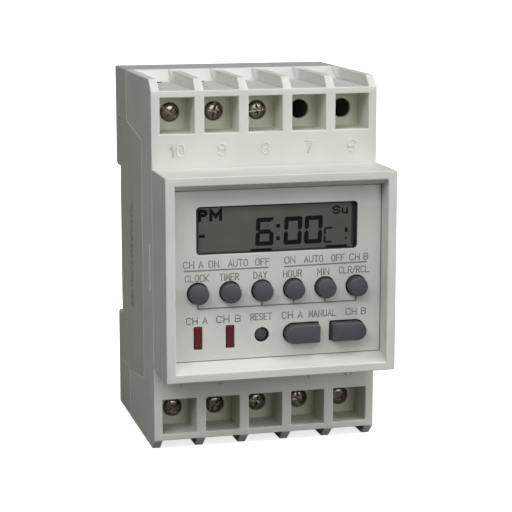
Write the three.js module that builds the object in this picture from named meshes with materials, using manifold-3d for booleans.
// DIN rail timer: a three-module housing with a projecting nose, a display, nine keys, screw terminals
// and a spring-loaded rail latch.
//
// Millimetres. X runs to the right, Y runs back towards the rail and Z runs up. The origin is the middle
// of the face that rests on the rail, so everything in front of the rail has a negative Y.

import * as THREE from "three";
import { mergeVertices } from "three/addons/utils/BufferGeometryUtils.js";
import Module from "manifold-3d";

const wasm = await Module();
wasm.setup();

// ---------------------------------------------------------------- driving dimensions

const MODULE_WIDTH = 17.5;
const MODULES = 3;
const HALF_WIDTH = (MODULES * MODULE_WIDTH) / 2;
const BODY_HALF_HEIGHT = 42.5;
const FACE_HALF_HEIGHT = 40;
const NOSE_HALF_HEIGHT = 22.7;
const WALL = 2;
const SEAM_GAP = 0.2;
const TOUCH_GAP = 0.1; // left between parts that rest on each other
const OVERCUT = 1; // how far a cut runs past the face it opens

// Planes from front to back.
const NOSE_FRONT = -55;
const PANEL_FRONT = -50.5;
const FACE_FRONT = -40;
const MIDDLE_SEAM = -28;
const END_SEAM = -9.6;
const SEAT = 0;
const BACK = 5;

// The seam between the housing halves steps from MIDDLE_SEAM to END_SEAM between these two heights.
const SEAM_STEP_INNER = 28;
const SEAM_STEP_OUTER = 30.5;

// Rail slot, for a 35 mm top-hat rail with flanges 1 mm thick.
const SLOT_HALF_HEIGHT = 18.3;
const SEAT_PAD_HALF_HEIGHT = 15.5;
const SEAT_RELIEF = 0.3;
const SLOT_CHAMFER = 0.8;
const HOOK_TIP = 16.3;
const HOOK_FRONT = 1.6;
const HOOK_LIP = 1.4;
const HOOK_HALF_WIDTH = 22;
const SEAT_WALL = 2.5;
const BOARD_LEDGE = { reach: 1.4, depth: 2.35, halfHeight: 20 };

// Terminals: two rows of five, the upper row numbered from the right and the lower row from the left.
const TERMINAL_PITCH = 10.16;
const TERMINALS_PER_ROW = 5;
const TERMINAL_HEIGHT = 34.5;
const FITTED_UPPER = [10, 9, 8];
const FITTED_LOWER = [1, 2, 3, 4, 5];
const WELL_HALF_WIDTH = 3.95;
const WELL_INNER = 30.4;
const WELL_OUTER = 38.5;
const WELL_FLOOR = -31.7;
const WELL_FLOOR_THICKNESS = 1.5;
const CELL_HALF_WIDTH = 4;
const CELL_INNER = 28.6;
const CELL_OUTER = 38.9;
const SCREW_HOLE_RADIUS = 2.2;
const WIRE_HOLE_RADIUS = 1.6;
const WIRE_HOLE_Y = -17;

// Wire channels between the fins above and below the face.
const FIN_ROOT_WIDTH = 2.1;
const FIN_TOP_WIDTH = 1.9;
const SIDE_FIN_WIDTH = 1.95;
const FIN_FRONT_TOP = -37.1;
const CHANNEL_RAMP_FOOT = -15.8;
const CHANNEL_RAMP_TOP = -10.2;

// Panel and what shows through it.
const PANEL_THICKNESS = 1.6;
const LIP_HALF_WIDTH = 24.15;
const LIP_HALF_HEIGHT = 20.8;
const PANEL_HALF_WIDTH = 24;
const PANEL_HALF_HEIGHT = 19.05;
const PANEL_FLANGE = 0.75;
const PANEL_FLANGE_THICKNESS = 0.8;
const PANEL_GAP = 0.15;
const LCD_WINDOW = { halfWidth: 18.5, bottom: 4.8, top: 15.5, corner: 0.9 };
const LCD = { halfWidth: 19.6, bottom: 3.9, top: 16.7, corner: 0.3, setBack: 1.8, thickness: 2.2 };
const LCD_CONNECTOR = { halfWidth: 17.5, bottom: 14.6, top: 16.2 };
const KEY_COLUMN_PITCH = 7.3;
const KEY_ROW = -3.7;
const KEY_HOLE_RADIUS = 2.43;
const KEY_PROUD = 2.4;
const LOWER_ROW = -13.85;
const RESET_HOLE_RADIUS = 1.7;
const RESET_RECESS = 0.7;
const LED = { width: 1.8, height: 5, setBack: 0.05, depth: 4.05, legThickness: 0.5, legPitch: 2.54 };
const LED_CLEARANCE = 0.1;
const MANUAL = { width: 8.4, height: 4.6, gap: 2.45, middle: 10.83, proud: 2.5, flatCorner: 0.5 };
const KEY_CLEARANCE = 0.25;
const KEY_FLANGE = 0.5;
const KEY_FLANGE_FRONT = -48.6;
const KEY_FLANGE_THICKNESS = 0.8;
const KEY_STEM_END = -46;
const KEY_STEM_RADIUS = 1.3;
const KEY_RIM = 0.45;
const KEY_MAT = { halfWidth: 20.6, bottom: -17.4, top: -0.6, thickness: 0.7, legRoom: 0.6 };
const KEY_DOME = { topRadius: 1.2, footRadius: 1.9, rise: 0.8 };

// Boards.
const BOARD_THICKNESS = 1.6;
const DISPLAY_BOARD = { front: -43.5, halfWidth: 23.6, halfHeight: 18.8 };
const MAIN_BOARD = { front: -26, halfWidth: 23.8, halfHeight: 26.4 };
const BOSS = { x: 22.2, z: 17.2, radius: 1.35, bore: 0.85 };
const BOARD_SCREW = { headRadius: 1.6, headHeight: 0.8, shankRadius: 0.75, reach: 3 };
const BOARD_SCREW_CROSS = { half: 0.9, width: 0.4 };
const BOARD_LINK = { z: -14, pins: 8, pitch: 2.54, pinWidth: 0.64, bodyHeight: 2.5, bodyDepth: 2.2 };

// Parts on the boards: left and bottom edges, size and how far they stand off the board.
const CHIP = { left: -16, bottom: -6, width: 11, height: 11, depth: 1.4, corner: 0.5 };
const RELAY_A = { left: -22.6, bottom: 3, width: 15.4, height: 19, depth: 15.3, corner: 0.8 };
const RELAY_B = { ...RELAY_A, left: -6.4 };
const SUPPLY_CAPACITOR = { left: 10.4, bottom: 3.5, width: 9, height: 18, depth: 15, corner: 0.6 };
const SMOOTHING_CAPACITOR = { x: -2, z: -12, radius: 4, depth: 12, crimp: 0.5, crimpPlace: 1.2 };
const BATTERY = { x: -15, z: -12, radius: 5.75, depth: 15.6, edge: 0.6, tipRadius: 2, tipDepth: 0.6 };

// Snap latch that holds the nose cover, seen through a slot in each side of the housing.
const LATCH = { y: -36.7, slotWidth: 1.4, halfHeight: 5.3, clearance: 0.2, tongue: 1.2 };
const LATCH_INSET = { root: 0.5, hook: 0.6 }; // how far the nose's latches stay inside the cheeks

// Rail latch: a plate that slides in a channel at the bottom of the back.
const CLIP = { halfWidth: 8, front: 1.4, step: 3.6, back: 4.8, ribHalfWidth: 6, top: -16.3, bottom: -42.2 };
const CLIP_RAMP = { lip: 1, plateFall: 1.2, ribFall: 3.4 };
const CLIP_TOOL_SLOT = { halfWidth: 2.8, bottom: -40.6, top: -38.6 };
const CHANNEL_WALL = 1.8;
const CLIP_CLEARANCE = 0.25;
const CLIP_WINDOW = { halfWidth: 1.7, top: -24, bottom: -36.3 };
const SPRING_STOP = { top: -34.6, bottom: -36 };
const SPRING = { coilRadius: 0.95, wireRadius: 0.2, turns: 7, y: 2.5 };

// Terminal screws, the clamps they raise and the contacts the clamps press wires against.
const SCREW = { headFront: -32, headRadius: 2, headHeight: 1.8, edge: 0.5, shankRadius: 1.5, tip: -22.5 };
const SCREW_CROSS = { half: 1.4, width: 0.6, depth: 1 };
const CLAMP = { halfWidth: 3.4, front: -26.5, back: -13.9, halfHeight: 3.2, threadGap: 0.15 };
const CLAMP_WINDOW = { halfWidth: 2.5, front: -25, back: -15.3 };
const CONTACT = { halfWidth: 2, front: -22.2, back: -21.2, inner: 24.5, outer: 37.8, tab: 1 };

const HOLE_ROUND = 32; // sides of the round holes that show
const ROUND = 20; // sides of a large round piece
const SMALL_ROUND = 14; // sides of a small one
const TINY_ROUND = 12; // sides of the smallest

// ---------------------------------------------------------------- materials

const finish = (color, roughness, metalness = 0) =>
  new THREE.MeshStandardMaterial({ color, roughness, metalness });

const materials = {
  housing: finish(0xcdcfc8, 0.42),
  panel: finish(0xc4c6c0, 0.5),
  key: finish(0x50555f, 0.5),
  led: finish(0x7a1a20, 0.25),
  display: finish(0x5a6355, 0.2),
  clip: finish(0xb9bbb4, 0.5),
  board: finish(0x1f6b3a, 0.5),
  silicone: finish(0xd8d8d0, 0.8),
  elastomer: finish(0x8f8f8a, 0.8),
  relay: finish(0x1d2430, 0.45),
  filmCapacitor: finish(0xb8a63a, 0.45),
  sleeve: finish(0x23242a, 0.4),
  cell: finish(0x2f7d4a, 0.4),
  chip: finish(0x1a1a1c, 0.5),
  nickel: finish(0xa8a294, 0.35, 1),
  zinc: finish(0xb4b8ba, 0.4, 1),
  brass: finish(0xc2a04f, 0.35, 1),
  spring: finish(0x8c8f92, 0.35, 1),
};

// ---------------------------------------------------------------- solids

// A closed three.js geometry as a solid that can be joined and cut.
function solid(geometry) {
  const bare = geometry.index ? geometry.toNonIndexed() : geometry.clone();
  bare.deleteAttribute("normal");
  bare.deleteAttribute("uv");
  const merged = mergeVertices(bare, 1e-4);
  return new wasm.Manifold(
    new wasm.Mesh({
      numProp: 3,
      vertProperties: merged.attributes.position.array,
      triVerts: new Uint32Array(merged.index.array),
    }),
  );
}

const join = (pieces) => pieces.reduce((whole, piece) => whole.add(piece));
const cut = (whole, pieces) => pieces.reduce((rest, piece) => rest.subtract(piece), whole);

// A block from one range per axis. A range may be given in either order.
function block([x0, x1], [y0, y1], [z0, z1]) {
  const geometry = new THREE.BoxGeometry(Math.abs(x1 - x0), Math.abs(y1 - y0), Math.abs(z1 - z0));
  geometry.translate((x0 + x1) / 2, (y0 + y1) / 2, (z0 + z1) / 2);
  return solid(geometry);
}

const both = (half) => [-half, half];

const X_AXIS = new THREE.Vector3(1, 0, 0);
const Y_AXIS = new THREE.Vector3(0, 1, 0);
const Z_AXIS = new THREE.Vector3(0, 0, 1);
const FRONT = new THREE.Vector3(0, -1, 0);

function prism(shape, length, alongAxes, offset, segments) {
  const geometry = new THREE.ExtrudeGeometry(shape, {
    depth: length,
    bevelEnabled: false,
    curveSegments: segments,
  });
  geometry.applyMatrix4(new THREE.Matrix4().makeBasis(...alongAxes));
  geometry.translate(...offset);
  return solid(geometry);
}

// A side-view outline of [y, z] points, swept from x0 to x1.
function sideProfile(points, [x0, x1]) {
  const shape = new THREE.Shape(points.map(([y, z]) => new THREE.Vector2(y, z)));
  return prism(shape, x1 - x0, [Y_AXIS, Z_AXIS, X_AXIS], [x0, 0, 0], 1);
}

// A front-view shape, drawn in x and z, swept from y0 to y1.
function frontProfile(shape, [y0, y1], segments = 4) {
  return prism(shape, y1 - y0, [X_AXIS, Z_AXIS, FRONT], [0, y1, 0], segments);
}

// A rectangle with its own radius at each end.
function slotShape(left, right, bottom, top, leftRadius, rightRadius) {
  const shape = new THREE.Shape();
  const quarter = Math.PI / 2;
  const corners = [
    [right - rightRadius, bottom + rightRadius, rightRadius, -quarter],
    [right - rightRadius, top - rightRadius, rightRadius, 0],
    [left + leftRadius, top - leftRadius, leftRadius, quarter],
    [left + leftRadius, bottom + leftRadius, leftRadius, 2 * quarter],
  ];
  for (const [x, z, radius, start] of corners) {
    shape.absarc(x, z, radius, start, start + quarter, false);
  }
  return shape;
}

const roundedRectangle = (left, right, bottom, top, radius) =>
  slotShape(left, right, bottom, top, radius, radius);

// A turned piece on an axis along Y, from [radius, y] points that start and end on the axis.
function turned(points, x, z, sides) {
  const profile = points.map(([radius, y]) => new THREE.Vector2(radius, y));
  const geometry = new THREE.LatheGeometry(profile, sides);
  geometry.translate(x, 0, z);
  return solid(geometry);
}

// A plain round bar or drill along Y.
const barY = (radius, [y0, y1], x, z, sides = SMALL_ROUND) =>
  turned([[0, y0], [radius, y0], [radius, y1], [0, y1]], x, z, sides);

// A plain round drill along Z.
function barZ(radius, [z0, z1], x, y, sides = SMALL_ROUND) {
  const geometry = new THREE.CylinderGeometry(radius, radius, Math.abs(z1 - z0), sides);
  geometry.rotateX(Math.PI / 2);
  geometry.translate(x, y, (z0 + z1) / 2);
  return solid(geometry);
}

const timer = new THREE.Group();
timer.name = "din_rail_timer";

function place(name, made, material) {
  const { vertProperties, triVerts } = made.getMesh();
  const geometry = new THREE.BufferGeometry();
  geometry.setAttribute("position", new THREE.BufferAttribute(vertProperties, 3));
  geometry.setIndex(new THREE.BufferAttribute(triVerts, 1));
  geometry.computeVertexNormals();
  const mesh = new THREE.Mesh(geometry, material);
  mesh.name = name;
  timer.add(mesh);
}

// ---------------------------------------------------------------- terminal places

const firstColumn = -((TERMINALS_PER_ROW - 1) / 2) * TERMINAL_PITCH;
const columnX = (column) => firstColumn + column * TERMINAL_PITCH;
const upperColumn = (number) => 2 * TERMINALS_PER_ROW - number;
const lowerColumn = (number) => number - 1;

const fitted = [
  ...FITTED_UPPER.map((number) => ({ number, x: columnX(upperColumn(number)), row: 1 })),
  ...FITTED_LOWER.map((number) => ({ number, x: columnX(lowerColumn(number)), row: -1 })),
];

// The plane that the parts behind the main board start from.
const COMPONENT_FRONT = MAIN_BOARD.front + BOARD_THICKNESS + PANEL_GAP;

// ---------------------------------------------------------------- terminal housing

const END_FACE = END_SEAM - SEAM_GAP / 2;
const MIDDLE_FACE = MIDDLE_SEAM - SEAM_GAP / 2;
const CELL_WALL = 1.8;

// The fins and the ramp of one row's wire channels: row is 1 above the face and -1 below it.
function wireChannels(row) {
  const sideView = [
    [FACE_FRONT, row * FACE_HALF_HEIGHT],
    [FIN_FRONT_TOP, row * BODY_HALF_HEIGHT],
    [END_FACE, row * BODY_HALF_HEIGHT],
    [END_FACE, row * CELL_OUTER],
    [FACE_FRONT, row * CELL_OUTER],
  ];
  const fins = [
    sideProfile(sideView, [-HALF_WIDTH, SIDE_FIN_WIDTH - HALF_WIDTH]),
    sideProfile(sideView, [HALF_WIDTH - SIDE_FIN_WIDTH, HALF_WIDTH]),
  ];
  const envelope = sideProfile(sideView, both(HALF_WIDTH));
  const frontView = [
    [FIN_ROOT_WIDTH / 2, CELL_OUTER],
    [FIN_ROOT_WIDTH / 2, FACE_HALF_HEIGHT],
    [FIN_TOP_WIDTH / 2, BODY_HALF_HEIGHT],
    [-FIN_TOP_WIDTH / 2, BODY_HALF_HEIGHT],
    [-FIN_ROOT_WIDTH / 2, FACE_HALF_HEIGHT],
    [-FIN_ROOT_WIDTH / 2, CELL_OUTER],
  ];
  for (let column = 1; column < TERMINALS_PER_ROW; column += 1) {
    const middle = columnX(column) - TERMINAL_PITCH / 2;
    const outline = frontView.map(([x, z]) => new THREE.Vector2(middle + x, row * z));
    fins.push(frontProfile(new THREE.Shape(outline), [FACE_FRONT, END_FACE]).intersect(envelope));
  }
  const ramp = sideProfile(
    [
      [CHANNEL_RAMP_FOOT, row * FACE_HALF_HEIGHT],
      [CHANNEL_RAMP_TOP, row * BODY_HALF_HEIGHT],
      [END_FACE, row * BODY_HALF_HEIGHT],
      [END_FACE, row * CELL_OUTER],
      [CHANNEL_RAMP_FOOT, row * CELL_OUTER],
    ],
    both(HALF_WIDTH),
  );
  return join([...fins, ramp]);
}

// A well to reach the screw from the front, a cell for the clamp behind it, and the hole between them.
function terminalCuts(x, row) {
  const across = (half) => [x - half, x + half];
  return [
    block(across(WELL_HALF_WIDTH), [FACE_FRONT - OVERCUT, WELL_FLOOR], [row * WELL_INNER, row * WELL_OUTER]),
    block(
      across(CELL_HALF_WIDTH),
      [WELL_FLOOR + WELL_FLOOR_THICKNESS, SEAT],
      [row * CELL_INNER, row * CELL_OUTER],
    ),
    barY(
      SCREW_HOLE_RADIUS,
      [WELL_FLOOR - OVERCUT, WELL_FLOOR + WELL_FLOOR_THICKNESS + OVERCUT],
      x,
      row * TERMINAL_HEIGHT,
      HOLE_ROUND,
    ),
  ];
}

function terminalHousing() {
  const outline = [
    [FACE_FRONT, -FACE_HALF_HEIGHT],
    [END_FACE, -FACE_HALF_HEIGHT],
    [END_FACE, -SEAM_STEP_OUTER],
    [MIDDLE_FACE, -SEAM_STEP_INNER],
    [MIDDLE_FACE, SEAM_STEP_INNER],
    [END_FACE, SEAM_STEP_OUTER],
    [END_FACE, FACE_HALF_HEIGHT],
    [FACE_FRONT, FACE_HALF_HEIGHT],
  ];
  const shell = join([
    sideProfile(outline, both(HALF_WIDTH)),
    wireChannels(1),
    wireChannels(-1),
  ]);
  const inside = HALF_WIDTH - WALL;
  const cuts = [
    block(both(inside), [FACE_FRONT + WALL, SEAT], both(CELL_INNER - CELL_WALL)),
    block(both(inside), [FACE_FRONT - OVERCUT, FACE_FRONT + WALL + OVERCUT], both(NOSE_HALF_HEIGHT - WALL)),
    block(
      both(HALF_WIDTH + OVERCUT),
      [LATCH.y - LATCH.slotWidth / 2, LATCH.y + LATCH.slotWidth / 2],
      both(LATCH.halfHeight),
    ),
  ];
  for (let column = 0; column < TERMINALS_PER_ROW; column += 1) {
    cuts.push(...terminalCuts(columnX(column), 1), ...terminalCuts(columnX(column), -1));
  }
  for (const { x, row } of fitted) {
    const through = [row * (CELL_OUTER - OVERCUT), row * (FACE_HALF_HEIGHT + OVERCUT)];
    cuts.push(barZ(WIRE_HOLE_RADIUS, through, x, WIRE_HOLE_Y, HOLE_ROUND));
  }
  return cut(shell, cuts);
}

// ---------------------------------------------------------------- rear base

// The shell as a side view, with the rail slot open at the back. The fixed hook and the channel for the
// sliding latch are inboard of the two cheeks.
function rearBase() {
  const endFace = END_SEAM + SEAM_GAP / 2;
  const middleFace = MIDDLE_SEAM + SEAM_GAP / 2;
  const seat = SEAT - SEAT_RELIEF;
  const upperHalf = [
    [middleFace, SEAM_STEP_INNER],
    [endFace, SEAM_STEP_OUTER],
    [endFace, BODY_HALF_HEIGHT],
    [BACK, BODY_HALF_HEIGHT],
    [BACK, SLOT_HALF_HEIGHT + SLOT_CHAMFER],
    [BACK - SLOT_CHAMFER, SLOT_HALF_HEIGHT],
    [seat, SLOT_HALF_HEIGHT],
    [seat, SEAT_PAD_HALF_HEIGHT],
    [SEAT, SEAT_PAD_HALF_HEIGHT],
  ];
  const mirrored = upperHalf.map(([y, z]) => [y, -z]).reverse();
  const outer = sideProfile([...upperHalf, ...mirrored], both(HALF_WIDTH));

  const floor = SEAT - SEAT_WALL;
  const pocketBack = BACK - WALL;
  const pocketInner = SLOT_HALF_HEIGHT + WALL;
  const pocketOuter = BODY_HALF_HEIGHT - WALL;
  const inside = both(HALF_WIDTH - WALL);
  const hollow = join([
    block(inside, [MIDDLE_SEAM - OVERCUT, floor], both(pocketOuter)),
    block(inside, [floor - OVERCUT, pocketBack], [pocketInner, pocketOuter]),
    block(inside, [floor - OVERCUT, pocketBack], [-pocketInner, -pocketOuter]),
  ]);

  const hookRoot = SLOT_HALF_HEIGHT + WALL / 2;
  const hookBack = BACK - SEAM_GAP;
  const hook = sideProfile(
    [
      [HOOK_FRONT, hookRoot],
      [HOOK_FRONT, HOOK_TIP],
      [HOOK_FRONT + HOOK_LIP, HOOK_TIP],
      [hookBack, SLOT_HALF_HEIGHT],
      [hookBack, hookRoot],
    ],
    both(HOOK_HALF_WIDTH),
  );

  const channelHousing = block(
    both(CLIP.halfWidth + CLIP_CLEARANCE + CHANNEL_WALL),
    [CLIP.front - CLIP_CLEARANCE - CHANNEL_WALL, BACK],
    [-SLOT_HALF_HEIGHT, -BODY_HALF_HEIGHT],
  );
  const ledges = [-1, 1].map((side) =>
    block(
      [side * (HALF_WIDTH - WALL - BOARD_LEDGE.reach), side * (HALF_WIDTH - WALL / 2)],
      [COMPONENT_FRONT, COMPONENT_FRONT + BOARD_LEDGE.depth],
      both(BOARD_LEDGE.halfHeight),
    ),
  );
  const shell = join([cut(outer, [hollow]), hook, channelHousing, ...ledges]);

  const channel = [
    block(
      both(CLIP.halfWidth + CLIP_CLEARANCE),
      [CLIP.front - CLIP_CLEARANCE, CLIP.step + CLIP_CLEARANCE],
      [-SLOT_HALF_HEIGHT + OVERCUT, -BODY_HALF_HEIGHT - OVERCUT],
    ),
    block(
      both(CLIP.ribHalfWidth + CLIP_CLEARANCE),
      [CLIP.front, BACK + OVERCUT],
      [-SLOT_HALF_HEIGHT + OVERCUT, -BODY_HALF_HEIGHT - OVERCUT],
    ),
  ];
  const stop = block(
    both(CLIP_WINDOW.halfWidth - CLIP_CLEARANCE),
    [CLIP.front - CLIP_CLEARANCE - CHANNEL_WALL / 2, CLIP.step],
    [SPRING_STOP.bottom, SPRING_STOP.top],
  );
  return join([cut(shell, channel), stop]);
}

// ---------------------------------------------------------------- rail latch

function dinClip() {
  const plate = sideProfile(
    [
      [CLIP.front, CLIP.bottom],
      [CLIP.step, CLIP.bottom],
      [CLIP.step, CLIP.top - CLIP_RAMP.plateFall],
      [CLIP.front + CLIP_RAMP.lip, CLIP.top],
      [CLIP.front, CLIP.top],
    ],
    both(CLIP.halfWidth),
  );
  const ribRoot = (CLIP.front + CLIP.step) / 2;
  const rib = sideProfile(
    [
      [ribRoot, CLIP.bottom],
      [CLIP.back, CLIP.bottom],
      [CLIP.back, CLIP.top - CLIP_RAMP.ribFall],
      [CLIP.step, CLIP.top - CLIP_RAMP.plateFall],
      [ribRoot, CLIP.top - CLIP_RAMP.plateFall],
    ],
    both(CLIP.ribHalfWidth),
  );
  const springWindow = block(
    both(CLIP_WINDOW.halfWidth),
    [CLIP.front - OVERCUT, CLIP.step + CLIP_CLEARANCE],
    [CLIP_WINDOW.bottom, CLIP_WINDOW.top],
  );
  const screwdriverSlot = block(
    both(CLIP_TOOL_SLOT.halfWidth),
    [CLIP.front - OVERCUT, CLIP.back + OVERCUT],
    [CLIP_TOOL_SLOT.bottom, CLIP_TOOL_SLOT.top],
  );
  return cut(join([plate, rib]), [springWindow, screwdriverSlot]);
}

class Helix extends THREE.Curve {
  constructor(radius, bottom, top, turns, y) {
    super();
    Object.assign(this, { radius, bottom, top, turns, y });
  }

  getPoint(t, target = new THREE.Vector3()) {
    const angle = 2 * Math.PI * this.turns * t;
    return target.set(
      this.radius * Math.cos(angle),
      this.y + this.radius * Math.sin(angle),
      this.bottom + (this.top - this.bottom) * t,
    );
  }
}

function clipSpring() {
  const clear = SPRING.wireRadius + TOUCH_GAP;
  const path = new Helix(
    SPRING.coilRadius,
    SPRING_STOP.top + clear,
    CLIP_WINDOW.top - clear,
    SPRING.turns,
    SPRING.y,
  );
  const section = new THREE.Shape();
  section.absarc(0, 0, SPRING.wireRadius, 0, 2 * Math.PI, false);
  const stepsPerTurn = 8;
  return solid(
    new THREE.ExtrudeGeometry(section, {
      steps: SPRING.turns * stepsPerTurn,
      extrudePath: path,
      curveSegments: 3,
      bevelEnabled: false,
    }),
  );
}

// ---------------------------------------------------------------- nose cover and panel

const PANEL_BACK = PANEL_FRONT + PANEL_THICKNESS;
const REBATE = PANEL_BACK - PANEL_FLANGE_THICKNESS - PANEL_GAP;
const NOSE_BACK = FACE_FRONT - PANEL_GAP;

// A frame with a raised lip. The recess walls above and below the panel slope inwards, and a rebate
// behind them takes the panel's flange.
function noseCover() {
  const shell = block(both(HALF_WIDTH), [NOSE_FRONT, NOSE_BACK], both(NOSE_HALF_HEIGHT));
  const recess = sideProfile(
    [
      [NOSE_FRONT - OVERCUT, -LIP_HALF_HEIGHT],
      [NOSE_FRONT, -LIP_HALF_HEIGHT],
      [PANEL_FRONT, -PANEL_HALF_HEIGHT - PANEL_GAP],
      [PANEL_BACK, -PANEL_HALF_HEIGHT - PANEL_GAP],
      [PANEL_BACK, PANEL_HALF_HEIGHT + PANEL_GAP],
      [PANEL_FRONT, PANEL_HALF_HEIGHT + PANEL_GAP],
      [NOSE_FRONT, LIP_HALF_HEIGHT],
      [NOSE_FRONT - OVERCUT, LIP_HALF_HEIGHT],
    ],
    both(LIP_HALF_WIDTH),
  );
  const rebate = block(
    both(PANEL_HALF_WIDTH + PANEL_FLANGE + PANEL_GAP),
    [REBATE, NOSE_BACK + OVERCUT],
    both(PANEL_HALF_HEIGHT + PANEL_FLANGE + PANEL_GAP),
  );
  const latches = [-1, 1].map((side) => {
    const tongueInner = side * (HALF_WIDTH - WALL - LATCH.tongue);
    const tongueOuter = side * (HALF_WIDTH - WALL - LATCH.clearance);
    const rootFront = DISPLAY_BOARD.front + BOARD_THICKNESS + LATCH.clearance;
    const height = both(LATCH.halfHeight - LATCH.clearance);
    const hookHalf = LATCH.slotWidth / 2 - LATCH.clearance;
    return join([
      block([tongueInner, tongueOuter], [rootFront, LATCH.y + LATCH.slotWidth], height),
      block([tongueInner, side * (HALF_WIDTH - LATCH_INSET.root)], [rootFront, NOSE_BACK], height),
      block(
        [tongueInner, side * (HALF_WIDTH - LATCH_INSET.hook)],
        [LATCH.y - hookHalf, LATCH.y + hookHalf],
        height,
      ),
    ]);
  });
  return join([cut(shell, [recess, rebate]), ...latches]);
}

// Key and indicator places on the panel.
const KEY_COLUMNS = 6;
const keyX = (column) => (column - (KEY_COLUMNS - 1) / 2) * KEY_COLUMN_PITCH;
const ROUND_KEYS = [
  "clock_button",
  "timer_button",
  "day_button",
  "hour_button",
  "minute_button",
  "clear_button",
];
const LED_NODES = ["led_a", "led_b"];
const resetX = keyX(2);

// Keeps a full round end from being drawn with a side of no length.
const ALMOST_ROUND = 0.01;

// The channel keys face each other with their flat ends: side is -1 for the left one and 1 for the right.
function manualShape(side, growth) {
  const flat = MANUAL.middle + side * (MANUAL.gap / 2 - growth);
  const round = MANUAL.middle + side * (MANUAL.gap / 2 + MANUAL.width + growth);
  const roundRadius = MANUAL.height / 2 + growth - ALMOST_ROUND;
  const flatRadius = MANUAL.flatCorner + Math.max(growth, -MANUAL.flatCorner / 2);
  const bottom = LOWER_ROW - MANUAL.height / 2 - growth;
  const top = LOWER_ROW + MANUAL.height / 2 + growth;
  return side < 0
    ? slotShape(round, flat, bottom, top, roundRadius, flatRadius)
    : slotShape(flat, round, bottom, top, flatRadius, roundRadius);
}

function ledShape(x, growth) {
  const shape = new THREE.Shape();
  const halfWidth = LED.width / 2 + growth;
  const halfHeight = LED.height / 2 + growth;
  shape.moveTo(x - halfWidth, LOWER_ROW - halfHeight);
  shape.lineTo(x + halfWidth, LOWER_ROW - halfHeight);
  shape.lineTo(x + halfWidth, LOWER_ROW + halfHeight);
  shape.lineTo(x - halfWidth, LOWER_ROW + halfHeight);
  return shape;
}

const bosses = [-1, 1].flatMap((x) => [-1, 1].map((z) => [x * BOSS.x, z * BOSS.z]));

function facePanel() {
  const plate = join([
    block(both(PANEL_HALF_WIDTH), [PANEL_FRONT, PANEL_BACK], both(PANEL_HALF_HEIGHT)),
    block(
      both(PANEL_HALF_WIDTH + PANEL_FLANGE),
      [PANEL_BACK - PANEL_FLANGE_THICKNESS, PANEL_BACK],
      both(PANEL_HALF_HEIGHT + PANEL_FLANGE),
    ),
    ...bosses.map(([x, z]) =>
      barY(BOSS.radius, [PANEL_BACK - PANEL_FLANGE_THICKNESS, DISPLAY_BOARD.front - TOUCH_GAP], x, z),
    ),
  ]);
  const through = [PANEL_FRONT - OVERCUT, PANEL_BACK + OVERCUT];
  const screwBore = [PANEL_BACK, DISPLAY_BOARD.front + OVERCUT];
  const { halfWidth, bottom, top, corner } = LCD_WINDOW;
  const openings = [
    frontProfile(roundedRectangle(-halfWidth, halfWidth, bottom, top, corner), through),
    barY(RESET_HOLE_RADIUS, through, resetX, LOWER_ROW, HOLE_ROUND),
    ...ROUND_KEYS.map((_, column) => barY(KEY_HOLE_RADIUS, through, keyX(column), KEY_ROW, HOLE_ROUND)),
    ...LED_NODES.map((_, column) => frontProfile(ledShape(keyX(column), LED_CLEARANCE), through)),
    ...[-1, 1].map((side) => frontProfile(manualShape(side, 0), through)),
    ...bosses.map(([x, z]) => barY(BOSS.bore, screwBore, x, z, TINY_ROUND)),
  ];
  return cut(plate, openings);
}

// ---------------------------------------------------------------- keys and indicators

const KEY_FLANGE_BACK = KEY_FLANGE_FRONT + KEY_FLANGE_THICKNESS;

// A turned key: a cap with a rounded rim, a flange behind the panel and a stem to the mat.
function roundKey(x, z, radius, front) {
  const rimSteps = 2;
  const points = [[0, front]];
  for (let step = 0; step <= rimSteps; step += 1) {
    const angle = (Math.PI / 2) * (step / rimSteps);
    points.push([radius - KEY_RIM * (1 - Math.sin(angle)), front + KEY_RIM * (1 - Math.cos(angle))]);
  }
  const flangeRadius = radius + KEY_CLEARANCE + KEY_FLANGE;
  points.push(
    [radius, KEY_FLANGE_FRONT],
    [flangeRadius, KEY_FLANGE_FRONT],
    [flangeRadius, KEY_FLANGE_BACK],
    [KEY_STEM_RADIUS, KEY_FLANGE_BACK],
    [KEY_STEM_RADIUS, KEY_STEM_END],
    [0, KEY_STEM_END],
  );
  return turned(points, x, z, ROUND);
}

const manualCentre = (side) => MANUAL.middle + side * (MANUAL.gap + MANUAL.width) / 2;

function manualKey(side) {
  const front = PANEL_FRONT - MANUAL.proud;
  return join([
    frontProfile(manualShape(side, -KEY_CLEARANCE - KEY_RIM), [front, KEY_FLANGE_BACK]),
    frontProfile(manualShape(side, -KEY_CLEARANCE), [front + KEY_RIM, KEY_FLANGE_BACK]),
    frontProfile(manualShape(side, KEY_FLANGE), [KEY_FLANGE_FRONT, KEY_FLANGE_BACK]),
    barY(KEY_STEM_RADIUS, [KEY_FLANGE_FRONT, KEY_STEM_END], manualCentre(side), LOWER_ROW),
  ]);
}

// A lens with two square legs that reach the display board.
function led(x) {
  const front = PANEL_FRONT + LED.setBack;
  const back = front + LED.depth;
  const lens = frontProfile(ledShape(x, 0), [front, back]);
  const half = LED.legThickness / 2;
  const legs = [-1, 1].map((side) => {
    const z = LOWER_ROW + (side * LED.legPitch) / 2;
    return block([x - half, x + half], [back - half, DISPLAY_BOARD.front - TOUCH_GAP], [z - half, z + half]);
  });
  return join([lens, ...legs]);
}

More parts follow.
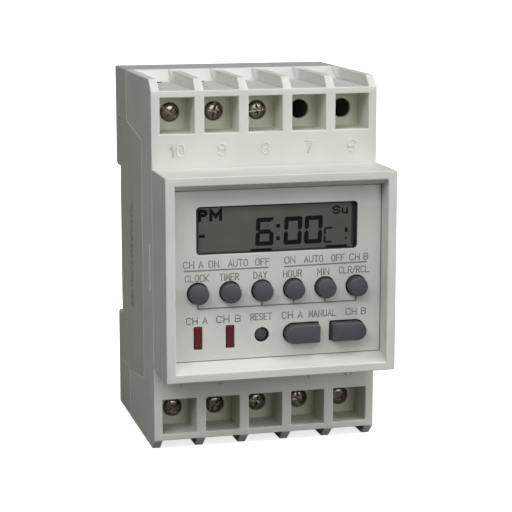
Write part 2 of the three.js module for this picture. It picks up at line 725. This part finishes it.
// One silicone sheet with a dome behind each key and an opening for each indicator's legs.
function keypadMat() {
  const sheetBack = DISPLAY_BOARD.front - TOUCH_GAP;
  const sheetFront = sheetBack - KEY_MAT.thickness;
  const sheetMiddle = (sheetFront + sheetBack) / 2;
  const domeFront = sheetFront - KEY_DOME.rise;
  const places = [
    ...ROUND_KEYS.map((_, column) => [keyX(column), KEY_ROW]),
    [resetX, LOWER_ROW],
    [manualCentre(-1), LOWER_ROW],
    [manualCentre(1), LOWER_ROW],
  ];
  const sheet = block(both(KEY_MAT.halfWidth), [sheetFront, sheetBack], [KEY_MAT.bottom, KEY_MAT.top]);
  const domeProfile = [
    [0, domeFront],
    [KEY_DOME.topRadius, domeFront],
    [KEY_DOME.footRadius, sheetMiddle],
    [0, sheetMiddle],
  ];
  const domes = places.map(([x, z]) => turned(domeProfile, x, z, TINY_ROUND));
  const openings = LED_NODES.map((_, column) =>
    frontProfile(ledShape(keyX(column), KEY_MAT.legRoom), [sheetFront - OVERCUT, sheetBack + OVERCUT]),
  );
  return cut(join([sheet, ...domes]), openings);
}

// ---------------------------------------------------------------- display and boards

const LCD_FRONT = PANEL_FRONT + LCD.setBack;
const LCD_BACK = LCD_FRONT + LCD.thickness;

function lcdGlass() {
  const shape = roundedRectangle(-LCD.halfWidth, LCD.halfWidth, LCD.bottom, LCD.top, LCD.corner);
  return frontProfile(shape, [LCD_FRONT, LCD_BACK], 2);
}

// The rubber strip that joins the glass to the board.
const zebraStrip = () =>
  block(
    both(LCD_CONNECTOR.halfWidth),
    [LCD_BACK + TOUCH_GAP, DISPLAY_BOARD.front - TOUCH_GAP],
    [LCD_CONNECTOR.bottom, LCD_CONNECTOR.top],
  );

const DISPLAY_BOARD_BACK = DISPLAY_BOARD.front + BOARD_THICKNESS;

function displayBoard() {
  const { front, halfWidth, halfHeight } = DISPLAY_BOARD;
  const board = block(both(halfWidth), [front, DISPLAY_BOARD_BACK], both(halfHeight));
  const through = [front - OVERCUT, DISPLAY_BOARD_BACK + OVERCUT];
  const holeRadius = BOARD_SCREW.shankRadius + 3 * TOUCH_GAP;
  return cut(board, bosses.map(([x, z]) => barY(holeRadius, through, x, z, TINY_ROUND)));
}

// The two slots of a screw's cross recess.
function crossRecess(x, z, { half, width }, depths) {
  const long = [-half, half];
  const short = [-width / 2, width / 2];
  const slot = (across, upright) =>
    block(across.map((offset) => x + offset), depths, upright.map((offset) => z + offset));
  return [slot(long, short), slot(short, long)];
}

// A board screw's head rests behind the board and its shank runs forward into a panel boss.
function boardScrew([x, z]) {
  const { headRadius, headHeight, shankRadius, reach } = BOARD_SCREW;
  const head = DISPLAY_BOARD_BACK + TOUCH_GAP / 2;
  const tip = DISPLAY_BOARD.front - reach;
  const profile = [
    [0, tip],
    [shankRadius, tip],
    [shankRadius, head],
    [headRadius, head],
    [headRadius - headHeight / 4, head + headHeight],
    [0, head + headHeight],
  ];
  const recess = [head + headHeight / 2, head + headHeight + OVERCUT];
  const cross = crossRecess(x, z, BOARD_SCREW_CROSS, recess);
  return cut(turned(profile, x, z, TINY_ROUND), cross);
}

// A box-shaped part that stands behind a board.
function boxed({ left, bottom, width, height, depth, corner }, front, segments = 2) {
  const shape = roundedRectangle(left, left + width, bottom, bottom + height, corner);
  return frontProfile(shape, [front, front + depth], segments);
}

const controllerChip = () => boxed(CHIP, DISPLAY_BOARD_BACK + TOUCH_GAP, 1);

const mainBoard = () =>
  block(
    both(MAIN_BOARD.halfWidth),
    [MAIN_BOARD.front, MAIN_BOARD.front + BOARD_THICKNESS],
    both(MAIN_BOARD.halfHeight),
  );

// A pin header that stands on the main board and reaches the back of the display board.
function boardLink() {
  const { z, pins, pitch, pinWidth, bodyHeight, bodyDepth } = BOARD_LINK;
  const front = DISPLAY_BOARD_BACK + TOUCH_GAP;
  const back = MAIN_BOARD.front - TOUCH_GAP;
  const standOff = pinWidth / 2;
  const across = both((pins * pitch) / 2);
  const upright = [z - bodyHeight / 2, z + bodyHeight / 2];
  const pieces = [
    block(across, [back - standOff - bodyDepth, back - standOff], upright),
    block(across, [front + standOff, front + standOff + bodyDepth], upright),
  ];
  for (let pin = 0; pin < pins; pin += 1) {
    const x = (pin - (pins - 1) / 2) * pitch;
    const half = pinWidth / 2;
    pieces.push(block([x - half, x + half], [front, back], [z - half, z + half]));
  }
  return join(pieces);
}

// ---------------------------------------------------------------- power parts, behind the main board

function smoothingCapacitor() {
  const { x, z, radius, depth, crimp, crimpPlace } = SMOOTHING_CAPACITOR;
  const end = COMPONENT_FRONT + depth;
  const groove = COMPONENT_FRONT + crimpPlace;
  const profile = [
    [0, COMPONENT_FRONT],
    [radius, COMPONENT_FRONT],
    [radius, groove],
    [radius - crimp, groove + crimp],
    [radius, groove + 2 * crimp],
    [radius, end - crimp],
    [radius - crimp, end],
    [0, end],
  ];
  return turned(profile, x, z, SMALL_ROUND);
}

function backupBattery() {
  const { x, z, radius, depth, edge, tipRadius, tipDepth } = BATTERY;
  const end = COMPONENT_FRONT + depth;
  const profile = [
    [0, COMPONENT_FRONT],
    [radius - edge, COMPONENT_FRONT],
    [radius, COMPONENT_FRONT + edge],
    [radius, end - edge],
    [radius - edge, end],
    [tipRadius, end],
    [tipRadius, end + tipDepth],
    [0, end + tipDepth],
  ];
  return turned(profile, x, z, SMALL_ROUND);
}

// ---------------------------------------------------------------- terminals

function terminalScrew(x, z) {
  const { headFront, headRadius, headHeight, edge, shankRadius, tip } = SCREW;
  const profile = [
    [0, headFront],
    [headRadius - edge, headFront],
    [headRadius, headFront + edge],
    [headRadius, headFront + headHeight],
    [shankRadius, headFront + headHeight],
    [shankRadius, tip - edge],
    [shankRadius - edge, tip],
    [0, tip],
  ];
  const recess = [headFront - OVERCUT, headFront + SCREW_CROSS.depth];
  const cross = crossRecess(x, z, SCREW_CROSS, recess);
  return cut(turned(profile, x, z, SMALL_ROUND), cross);
}

function terminalClamp(x, z) {
  const across = (half) => [x - half, x + half];
  const { halfWidth, front, back, halfHeight } = CLAMP;
  const cage = block(across(halfWidth), [front, back], [z - halfHeight, z + halfHeight]);
  const wireWindow = block(
    across(CLAMP_WINDOW.halfWidth),
    [CLAMP_WINDOW.front, CLAMP_WINDOW.back],
    [z - halfHeight - OVERCUT, z + halfHeight + OVERCUT],
  );
  const threadDepth = [front - OVERCUT, CLAMP_WINDOW.front + OVERCUT];
  const thread = barY(SCREW.shankRadius + CLAMP.threadGap, threadDepth, x, z);
  return cut(cage, [wireWindow, thread]);
}

function terminalContact(x, row) {
  const { halfWidth, front, back, inner, outer, tab } = CONTACT;
  const across = [x - halfWidth, x + halfWidth];
  return join([
    block(across, [front, back], [row * inner, row * outer]),
    block(across, [COMPONENT_FRONT, back], [row * inner, row * (inner + tab)]),
  ]);
}

// ---------------------------------------------------------------- assembly

place("rear_base", rearBase(), materials.housing);
place("terminal_housing", terminalHousing(), materials.housing);
place("nose_cover", noseCover(), materials.housing);
place("face_panel", facePanel(), materials.panel);
place("din_clip", dinClip(), materials.clip);
place("clip_spring", clipSpring(), materials.spring);

place("lcd_glass", lcdGlass(), materials.display);
place("zebra_strip", zebraStrip(), materials.elastomer);
place("display_board", displayBoard(), materials.board);
place("controller_chip", controllerChip(), materials.chip);
bosses.forEach((boss, index) => {
  place(`board_screw_${index + 1}`, boardScrew(boss), materials.nickel);
});

place("keypad_mat", keypadMat(), materials.silicone);
ROUND_KEYS.forEach((name, column) => {
  const key = roundKey(keyX(column), KEY_ROW, KEY_HOLE_RADIUS - KEY_CLEARANCE, PANEL_FRONT - KEY_PROUD);
  place(name, key, materials.key);
});
const resetKey = roundKey(
  resetX,
  LOWER_ROW,
  RESET_HOLE_RADIUS - KEY_CLEARANCE,
  PANEL_FRONT + RESET_RECESS,
);
place("reset_button", resetKey, materials.key);
place("manual_a_button", manualKey(-1), materials.key);
place("manual_b_button", manualKey(1), materials.key);
LED_NODES.forEach((name, column) => place(name, led(keyX(column)), materials.led));

place("main_board", mainBoard(), materials.board);
place("board_link", boardLink(), materials.chip);
place("relay_a", boxed(RELAY_A, COMPONENT_FRONT), materials.relay);
place("relay_b", boxed(RELAY_B, COMPONENT_FRONT), materials.relay);
place("supply_capacitor", boxed(SUPPLY_CAPACITOR, COMPONENT_FRONT), materials.filmCapacitor);
place("smoothing_capacitor", smoothingCapacitor(), materials.sleeve);
place("backup_battery", backupBattery(), materials.cell);

for (const { number, x, row } of fitted) {
  const z = row * TERMINAL_HEIGHT;
  place(`terminal_screw_${number}`, terminalScrew(x, z), materials.nickel);
  place(`terminal_clamp_${number}`, terminalClamp(x, z), materials.zinc);
  place(`terminal_contact_${number}`, terminalContact(x, row), materials.brass);
}

export default timer;
